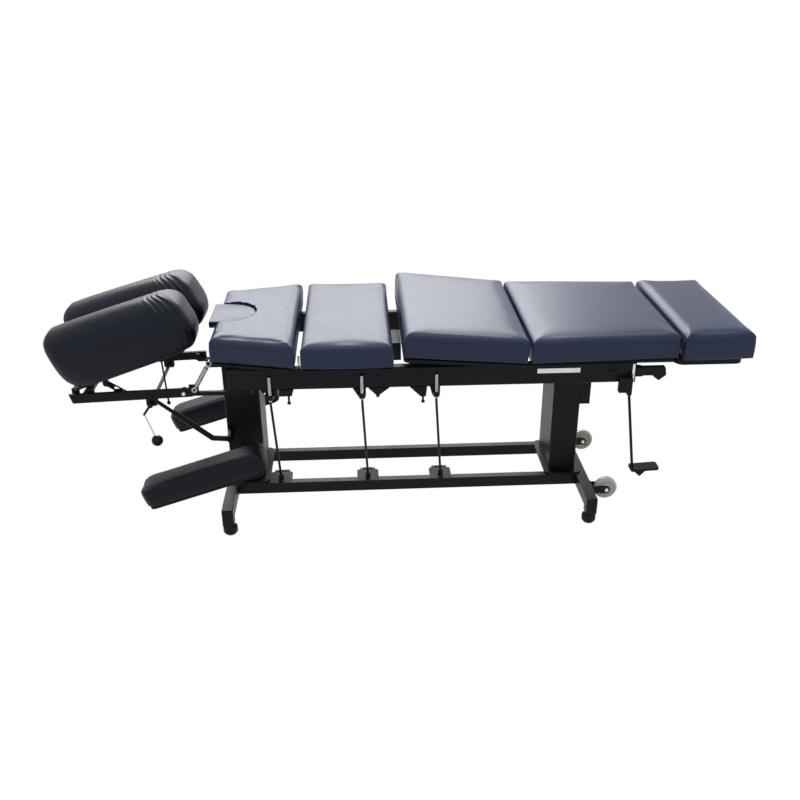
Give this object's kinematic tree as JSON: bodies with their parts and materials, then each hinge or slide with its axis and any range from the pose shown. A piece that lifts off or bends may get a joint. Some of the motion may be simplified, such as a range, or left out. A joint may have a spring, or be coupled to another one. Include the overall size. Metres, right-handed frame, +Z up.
{
  "type": "chiropractic table",
  "caption": "Drop table for adjustments: black framed bench with separate padded sections, a tilting head end with bolsters, armrests, drop pedals and transport wheels",
  "frame": {"origin": "Centre of the bounding box on the floor, under the levelling feet, in the shown pose.", "axes": "+Z up, +X from the head end to the foot end along the table's length, -Y the side with the drop pedals."},
  "size_m": [1.9801, 0.61, 0.7012],
  "materials": {
    "black_vinyl": "satin",
    "dark_board": "matte",
    "chrome_rod": "polished",
    "bare_steel": "satin",
    "black_plastic": "matte",
    "black_rubber": "matte",
    "pale_wheel": "satin",
    "satin_black": "satin"
  },
  "bodies": {
    "base": {"front_side_rail": "satin_black", "rear_side_rail": "satin_black", "frame_cross_tubes": "satin_black", "rail_caps": "black_plastic", "leg_strips": "dark_board", "trims": "bare_steel", "rail_brackets": "satin_black", "slide_sleeves": "satin_black", "front_long_beam": "satin_black", "rear_long_beam": "satin_black", "head_cross_foot": "satin_black", "tail_cross_foot": "satin_black", "levelling_feet": "black_rubber", "head_column": "satin_black", "tail_column": "satin_black", "tail_gusset_box": "satin_black", "wheel_brackets": "satin_black", "head_stub_bars": "satin_black", "armrest_tubes": "satin_black", "leg_pad": "black_vinyl"},
    "thoracic_section": {"thoracic_pad": "black_vinyl", "thoracic_board": "dark_board"},
    "throat": {"throat_insert": "black_vinyl"},
    "lumbar_section": {"lumbar_pad": "black_vinyl", "lumbar_board": "dark_board"},
    "pelvic_section": {"pelvic_pad": "black_vinyl", "pelvic_board": "dark_board"},
    "foot_section": {"foot_pad": "black_vinyl", "foot_plate": "satin_black"},
    "tail_pedal_body": {"tail_pedal": "satin_black"},
    "tail_handle_body": {"tail_handle": "satin_black"},
    "head_section": {"head_frame": "satin_black"},
    "face_section": {"face_plate": "satin_black", "front_bolster": "black_vinyl", "rear_bolster": "black_vinyl"},
    "stay_body": {"plate_stays": "satin_black"},
    "pull_body": {"pull_rod": "satin_black"},
    "strut_tube_body": {"lock_strut_tube": "satin_black"},
    "strut_rod_body": {"lock_strut_rod": "satin_black"},
    "gas_cylinder_body": {"gas_cylinder": "chrome_rod"},
    "gas_rod_body": {"gas_rod": "chrome_rod"},
    "lever_body": {"lock_lever": "satin_black"},
    "front_armrest": {"front_armrest_carrier": "dark_board", "front_armrest_pad": "black_vinyl"},
    "rear_armrest": {"rear_armrest_carrier": "dark_board", "rear_armrest_pad": "black_vinyl"},
    "front_wheel_body": {"front_wheel": "pale_wheel"},
    "rear_wheel_body": {"rear_wheel": "pale_wheel"},
    "thoracic_link": {"thoracic_drop_bar": "chrome_rod", "thoracic_drop_rod": "satin_black"},
    "thoracic_pedal_body": {"thoracic_pedal": "satin_black"},
    "thoracic_screw_body": {"thoracic_tension_screw": "bare_steel"},
    "lumbar_link": {"lumbar_drop_bar": "chrome_rod", "lumbar_drop_rod": "satin_black"},
    "lumbar_pedal_body": {"lumbar_pedal": "satin_black"},
    "lumbar_screw_body": {"lumbar_tension_screw": "bare_steel"},
    "pelvic_link": {"pelvic_drop_bar": "chrome_rod", "pelvic_drop_rod": "satin_black"},
    "pelvic_pedal_body": {"pelvic_pedal": "satin_black"},
    "pelvic_screw_body": {"pelvic_tension_screw": "bare_steel"}
  },
  "joints": [
    {"name": "thoracic_drop", "type": "hinge", "parent": "base", "child": "thoracic_section", "pos_m": [-0.31294, 0, 0.498], "axis": [0, 1, 0], "range_deg": [0, 3]},
    {"name": "lumbar_drop", "type": "hinge", "parent": "base", "child": "lumbar_section", "pos_m": [-0.04444, 0, 0.498], "axis": [0, 1, 0], "range_deg": [0, 3]},
    {"name": "pelvic_drop", "type": "hinge", "parent": "base", "child": "pelvic_section", "pos_m": [0.32006, 0, 0.498], "axis": [0, 1, 0], "range_deg": [-5.05, 0]},
    {"name": "throat_lift", "type": "slide", "parent": "thoracic_section", "child": "throat", "axis": [0, 0, 1], "range_m": [0, 0.06]},
    {"name": "foot_slide", "type": "slide", "parent": "base", "child": "foot_section", "axis": [1, 0, 0], "range_m": [0, 0.15]},
    {"name": "tail_pedal_press", "type": "slide", "parent": "base", "child": "tail_pedal_body", "axis": [0, 0, -1], "range_m": [0, 0.02], "stiffness_N_per_m": 400, "springref_m": -0.03},
    {"name": "tail_handle_press", "type": "hinge", "parent": "base", "child": "tail_handle_body", "pos_m": [0.67306, -0.23, 0.4775], "axis": [0, 1, 0], "range_deg": [0, 20], "stiffness_Nm_per_rad": 2, "springref_deg": -17.19},
    {"name": "head_tilt", "type": "hinge", "parent": "base", "child": "head_section", "pos_m": [-0.62194, 0, 0.405], "axis": [0, 1, 0], "range_deg": [-20, 4]},
    {"name": "plate_tilt", "type": "hinge", "parent": "head_section", "child": "face_section", "pos_m": [-0.92894, 0, 0.393], "axis": [0, 1, 0], "range_deg": [-6, 0]},
    {"name": "stay_swing", "type": "hinge", "parent": "face_section", "child": "stay_body", "pos_m": [-0.84094, 0, 0.43], "axis": [0, 1, 0], "range_deg": [0, 12.4]},
    {"name": "pull_release", "type": "slide", "parent": "face_section", "child": "pull_body", "axis": [0.0439, 0, -0.999], "range_m": [0, 0.015]},
    {"name": "strut_swing", "type": "hinge", "parent": "base", "child": "strut_tube_body", "pos_m": [-0.50794, -0.128, 0.246], "axis": [0, 1, 0], "range_deg": [-4, 0.9]},
    {"name": "strut_telescope", "type": "slide", "parent": "strut_tube_body", "child": "strut_rod_body", "axis": [-0.7686, 0, 0.6397], "range_m": [-0.0273, 0.0057]},
    {"name": "gas_swing", "type": "hinge", "parent": "head_section", "child": "gas_cylinder_body", "pos_m": [-0.58794, -0.161, 0.421], "axis": [0, 1, 0], "range_deg": [-5.7, 27.8]},
    {"name": "gas_telescope", "type": "slide", "parent": "gas_cylinder_body", "child": "gas_rod_body", "axis": [0.5113, 0, 0.8594], "range_m": [-0.0055, 0.0013]},
    {"name": "lever_turn", "type": "hinge", "parent": "head_section", "child": "lever_body", "pos_m": [-0.71794, -0.157, 0.374], "axis": [0, 1, 0], "range_deg": [-25, 25]},
    {"name": "front_armrest_tilt", "type": "hinge", "parent": "base", "child": "front_armrest", "pos_m": [-0.47694, 0, 0.176], "axis": [0, 1, 0], "range_deg": [-12, 25]},
    {"name": "rear_armrest_tilt", "type": "hinge", "parent": "base", "child": "rear_armrest", "pos_m": [-0.47694, 0, 0.176], "axis": [0, 1, 0], "range_deg": [-12, 25]},
    {"name": "front_wheel_roll", "type": "hinge", "parent": "base", "child": "front_wheel_body", "pos_m": [0.62706, -0.165, 0.063], "axis": [0, 1, 0], "continuous": true},
    {"name": "rear_wheel_roll", "type": "hinge", "parent": "base", "child": "rear_wheel_body", "pos_m": [0.62706, 0.165, 0.063], "axis": [0, 1, 0], "continuous": true},
    {"name": "thoracic_pedal_press", "type": "hinge", "parent": "base", "child": "thoracic_pedal_body", "pos_m": [-0.36194, -0.112, 0.118], "axis": [1, 0, 0], "range_deg": [0, 14], "stiffness_Nm_per_rad": 2, "springref_deg": -25.21},
    {"name": "thoracic_rod_slide", "type": "slide", "parent": "base", "child": "thoracic_link", "axis": [0, 0, -1], "range_m": [0, 0.0148]},
    {"name": "thoracic_screw_turn", "type": "hinge", "parent": "base", "child": "thoracic_screw_body", "pos_m": [-0.31894, -0.232, 0.449], "axis": [0, 0, 1], "continuous": true},
    {"name": "lumbar_pedal_press", "type": "hinge", "parent": "base", "child": "lumbar_pedal_body", "pos_m": [-0.10394, -0.112, 0.118], "axis": [1, 0, 0], "range_deg": [0, 14], "stiffness_Nm_per_rad": 2, "springref_deg": -25.21},
    {"name": "lumbar_rod_slide", "type": "slide", "parent": "base", "child": "lumbar_link", "axis": [0, 0, -1], "range_m": [0, 0.0148]},
    {"name": "lumbar_screw_turn", "type": "hinge", "parent": "base", "child": "lumbar_screw_body", "pos_m": [-0.07094, -0.232, 0.449], "axis": [0, 0, 1], "continuous": true},
    {"name": "pelvic_pedal_press", "type": "hinge", "parent": "base", "child": "pelvic_pedal_body", "pos_m": [0.11406, -0.112, 0.118], "axis": [1, 0, 0], "range_deg": [0, 14], "stiffness_Nm_per_rad": 2, "springref_deg": -25.21},
    {"name": "pelvic_rod_slide", "type": "slide", "parent": "base", "child": "pelvic_link", "axis": [0, 0, -1], "range_m": [0, 0.0148]},
    {"name": "pelvic_screw_turn", "type": "hinge", "parent": "base", "child": "pelvic_screw_body", "pos_m": [0.05606, -0.232, 0.449], "axis": [0, 0, 1], "continuous": true}
  ],
  "couplings": [
    {"joint": "stay_swing", "follows": "plate_tilt", "ratio": -2.0344},
    {"joint": "strut_swing", "follows": "head_tilt", "ratio": 0.19164},
    {"joint": "strut_telescope", "follows": "head_tilt", "m_per_rad": 0.077597},
    {"joint": "gas_swing", "follows": "head_tilt", "ratio": -1.3809},
    {"joint": "gas_telescope", "follows": "head_tilt", "m_per_rad": 0.015032},
    {"joint": "thoracic_rod_slide", "follows": "thoracic_pedal_press", "m_per_rad": 0.0594},
    {"joint": "lumbar_rod_slide", "follows": "lumbar_pedal_press", "m_per_rad": 0.0594},
    {"joint": "pelvic_rod_slide", "follows": "pelvic_pedal_press", "m_per_rad": 0.0594}
  ]
}
